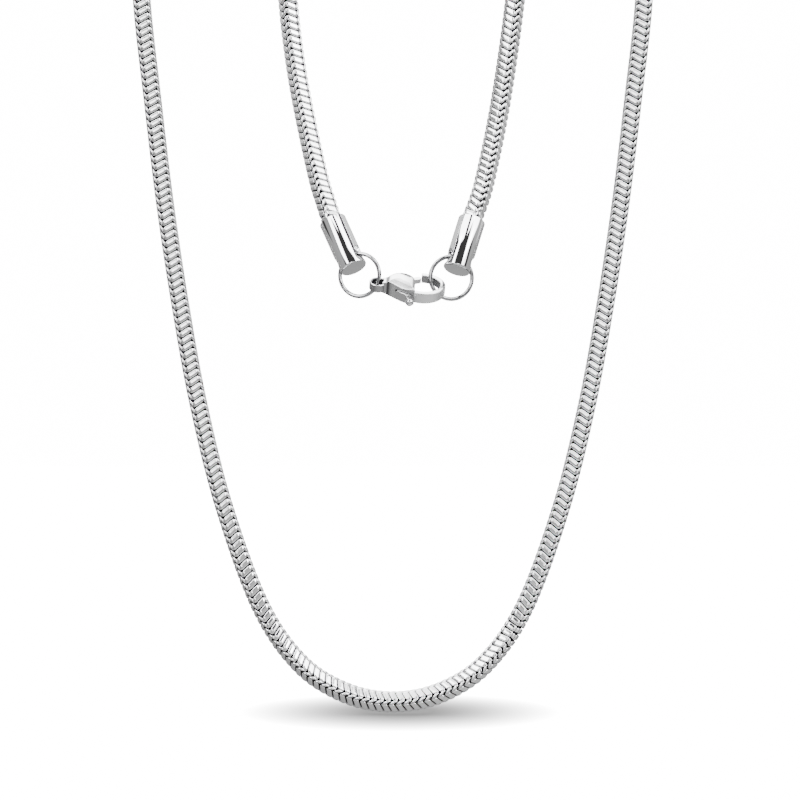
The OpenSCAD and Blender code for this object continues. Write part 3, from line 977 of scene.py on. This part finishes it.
    def build_body(self) -> Object:
        """Builds the cast body with its eye, hook, slot and pin, and returns it."""
        teardrop = self.body_shell()
        tools = []
        for angle in range(0, self.gate_open + 1, 5):
            for plate in self.lever_plates(self.slot_gap, self.lever_t / 2 + self.slot_gap):
                plate.data.transform(moved(*self.pivot, 0) @ turned("Z", -angle))
                tools.append(plate)
        slot = joined("slot", tools)
        fuse(slot, self.slot_grain)
        cut(teardrop, slot)
        cut(teardrop, rod("eye_hole", self.eye_hole_r, 3, 64))
        pin = rod("pin", self.pin_r, self.pin_half, 32)
        pin.data.transform(moved(*self.pivot, 0))
        body = joined("clasp_casting", [teardrop, self.hook(), self.eye(), pin])
        fuse(body, self.body_grain, self.body_smoothing)
        self.mark_casting(body)
        place(body, self.hanging.clasp())
        shade(body)
        return body

    def build_lever(self) -> Object:
        """Builds the lever with its thumb knob and returns it."""
        turn = np.linspace(-math.pi / 2, math.pi / 2, 25)
        knob = revolved("knob", list(zip(self.knob_r * np.cos(turn), self.knob_r * np.sin(turn))), 48)
        knob.data.transform(moved(*self.knob_at, -self.knob_drop))
        lever = joined("clasp_thumb_lever", [*self.lever_plates(0, self.lever_t / 2), self.leaf(), knob])
        fuse(lever, self.lever_grain, self.lever_smoothing)
        cut(lever, rod("pivot_hole", self.pin_r + self.pin_gap, 1, 32))
        # Painted shade on the lever's walls, apart from those towards the leaf and the knob.
        wall = np.clip((0.6 - np.abs(normals_of(lever)[:, 2])) / 0.3, 0, 1)
        paint(lever, "painted_shade", 0.5 * wall * (points_of(lever)[:, 1] > -0.5))
        place(lever, self.hanging.clasp() @ moved(*self.pivot, 0))
        shade(lever, 50)
        return lever


# The studio

@dataclass(frozen=True)
class SoftBox:
    """A bright panel, by its direction in degrees. Azimuth 0 lies behind the camera and 90 to the right."""

    azimuth: float
    elevation: float
    half_width: float
    half_height: float
    softness: float
    strength: float


@dataclass
class Studio:
    """The white floor, the camera and the light."""

    camera_at: tuple = (1.38, -800, -96.37)
    view_width: float = 153.28
    floor_z: float = -156.7
    base_light: float = 0.07
    backdrop_light: float = 20
    # A lamp behind the camera between two dim ones, three panels to the right and two to the left that leave
    # a dark gap in the middle, three overhead, and behind the necklace a bright one high up and dim ones below
    # it. The rest are dim ones at the sides and towards the back.
    boxes: tuple = (
        SoftBox(0, 4, 5, 6, 6, 8), SoftBox(24, 5, 11, 9, 5, 0.8), SoftBox(-24, 5, 11, 9, 5, 0.8),
        SoftBox(56, 38, 20, 19, 5, 13), SoftBox(24, 50, 12, 9, 2, 13), SoftBox(44, 18, 8, 8, 5, 8),
        SoftBox(-42, 27, 8, 16, 5, 13), SoftBox(-49, 52, 37, 8, 2, 13),
        SoftBox(62, 75, 36, 9, 5, 6), SoftBox(-62, 75, 36, 9, 5, 6), SoftBox(0, 90, 180, 8, 4, 2.2),
        SoftBox(180, 66, 50, 9, 8, 13), SoftBox(180, 40, 60, 14, 10, 0.3), SoftBox(180, 5, 22, 22, 8, 0.25),
        SoftBox(-70, 14, 9, 14, 8, 0.6), SoftBox(88, 8, 12, 12, 8, 0.7),
        SoftBox(128, 16, 24, 34, 6, 1.5), SoftBox(-128, 16, 22, 34, 6, 1.3))
    # What the steel sees of the floor: its light, and a brighter patch in front, by its middle and its reach.
    floor_light: float = 0.25
    front_light: float = 1.0
    front_at: tuple = (50, -55)
    front_reach: tuple = (130, 75)
    # The painted shadow under the lowest links: its middle, its reach to the side and to the front, its darkest
    # light.
    painted_shadow_at: tuple = (1.4, 9)
    painted_shadow_reach: tuple = (32, 51)
    painted_shadow_light: float = 0.31
    floor_reach: float = 3.0
    floor_tone: float = 0.05

    def camera(self) -> None:
        """Places the camera where the photograph was taken from."""
        lens = bpy.data.cameras.new("camera")
        lens.sensor_width = 36
        lens.lens = lens.sensor_width * -self.camera_at[1] / self.view_width
        lens.clip_start, lens.clip_end = 0.05, 20
        camera = in_scene("camera", lens)
        camera.location = Vector(self.camera_at) * MM
        camera.rotation_euler = (math.pi / 2, 0, 0)
        bpy.context.scene.camera = camera

    def floor(self) -> None:
        """Lays the floor just under the lowest link."""
        reach, height, tone = self.floor_reach, self.floor_z * MM, self.floor_tone
        points = np.array([(x * reach, y * reach, height) for x, y in ((-1, -1), (1, -1), (1, 1), (-1, 1))])
        floor = mesh_object("floor", points, np.array([[0, 1, 2, 3]]), smooth=False)
        material = bpy.data.materials.new("white_floor")
        material.use_nodes = True
        paper = material.node_tree.nodes["Principled BSDF"]
        for socket, value in (("Base Color", (tone, tone, tone, 1)), ("Roughness", 0.9),
                              ("Specular IOR Level", 0.1), ("Emission Color", (1, 1, 1, 1))):
            paper.inputs[socket].default_value = value
        self.lighten(material.node_tree, paper)
        floor.data.materials.append(material)

    def lighten(self, tree: NodeTree, paper: Node) -> None:
        """Makes the floor as white as the backdrop where it is seen directly, apart from a shadow painted under
        the lowest links.

        Args:
            tree: the nodes of the floor's material.
            paper: the material's shader.
        """
        position = new_node(tree, "TexCoord").outputs["Object"]

        def patch(at: tuple, reach: tuple) -> NodeSocket:
            """Returns 1 in the middle of an oval patch of the floor, and 0 outside it."""
            oval = new_node(tree, "Mapping", {
                "Vector": position, "Scale": (1 / (reach[0] * MM), 1 / (reach[1] * MM), 0),
                "Location": (-at[0] / reach[0], -at[1] / reach[1], 0)})
            ball = new_node(tree, "TexGradient", {"Vector": oval.outputs["Vector"]}, gradient_type="SPHERICAL")
            return ball.outputs["Fac"]

        # The painted shadow: darker towards its middle.
        share = new_node(tree, "MapRange", {"Value": patch(self.painted_shadow_at, self.painted_shadow_reach), "From Max": 0.8})
        darker = new_node(tree, "Math", {
            0: self.painted_shadow_light / self.backdrop_light, 1: share.outputs["Result"]}, operation="POWER")
        seen = new_node(tree, "Math", {0: darker.outputs[0], 1: self.backdrop_light}, operation="MULTIPLY")
        mirrored = new_node(tree, "MapRange", {
            "Value": patch(self.front_at, self.front_reach), "From Max": 0.5,
            "To Min": self.floor_light, "To Max": self.front_light}, interpolation_type="SMOOTHSTEP")
        either = new_node(tree, "Mix", {
            "Factor": new_node(tree, "LightPath").outputs["Is Camera Ray"],
            "A": mirrored.outputs["Result"], "B": seen.outputs[0]})
        tree.links.new(either.outputs["Result"], paper.inputs["Emission Strength"])

    def world(self) -> None:
        """Sets up the panels of light that the steel reflects, and the plain backdrop."""
        world = bpy.data.worlds.new("studio")
        bpy.context.scene.world = world
        world.use_nodes = True
        tree = world.node_tree
        tree.nodes.clear()

        def maths(operation: str, *values: object) -> NodeSocket:
            """Adds a calculation with numbers or sockets and returns its result."""
            return new_node(tree, "Math", dict(enumerate(values)), operation=operation).outputs[0]

        def window(value: NodeSocket, half: float, soft: float) -> NodeSocket:
            """Returns 1 where value is below half and 0 where it is above half plus soft."""
            return new_node(tree, "MapRange", {"Value": value, "From Min": half + soft, "From Max": half},
                            interpolation_type="SMOOTHSTEP").outputs["Result"]

        direction = new_node(tree, "TexCoord").outputs["Generated"]
        split = new_node(tree, "SeparateXYZ", {0: direction})
        backward = maths("MULTIPLY", split.outputs["Y"], -1.0)
        degrees = 180 / math.pi
        azimuth = maths("MULTIPLY", maths("ARCTAN2", split.outputs["X"], backward), degrees)
        elevation = maths("MULTIPLY", maths("ARCSINE", split.outputs["Z"]), degrees)
        total = self.base_light
        for box in self.boxes:
            aside = maths("ABSOLUTE", maths("WRAP", maths("SUBTRACT", azimuth, box.azimuth), 180, -180))
            over = maths("ABSOLUTE", maths("SUBTRACT", elevation, box.elevation))
            shape = maths("MULTIPLY", window(aside, box.half_width, box.softness),
                          window(over, box.half_height, box.softness))
            total = maths("ADD", maths("MULTIPLY", shape, box.strength), total)
        light = new_node(tree, "Background", {"Strength": total})
        backdrop = new_node(tree, "Background", {"Strength": self.backdrop_light})
        seen = new_node(tree, "LightPath").outputs["Is Camera Ray"]
        mix = new_node(tree, "MixShader", {0: seen, 1: light.outputs[0], 2: backdrop.outputs[0]})
        new_node(tree, "OutputWorld", {"Surface": mix.outputs[0]})


def main() -> None:
    """Builds the necklace piece by piece and sets up the studio."""
    Groups.polish()
    Groups.shadowed()
    hanging = Hanging()
    SnakeChain(ChainRoute(hanging), SnakeLink()).build()
    cap, ring = EndCap(), JumpRing()
    for side, at in (("left", hanging.left_cap()), ("right", hanging.right_cap())):
        dress(cap.build(f"drilled_cap_{side}", at), Steel.CAPS, "cap_steel", NECKLACE, f"end_cap_{side}")
    for side, at in (("left", hanging.left_ring()), ("right", hanging.right_ring())):
        dress(ring.build(f"wire_ring_{side}", at), Steel.RINGS, "ring_steel", NECKLACE, f"jump_ring_{side}")
    lobster = Lobster(hanging)
    dress(lobster.build_body(), Steel.CLASP, "clasp_steel", NECKLACE, "clasp_body")
    dress(lobster.build_lever(), Steel.LEVER, "lever_steel", LEVER, "clasp_lever")
    studio = Studio()
    studio.floor()
    studio.world()
    studio.camera()


if __name__ == "__main__":
    logging.basicConfig(level=logging.INFO, format="%(name)s: %(message)s")
    main()
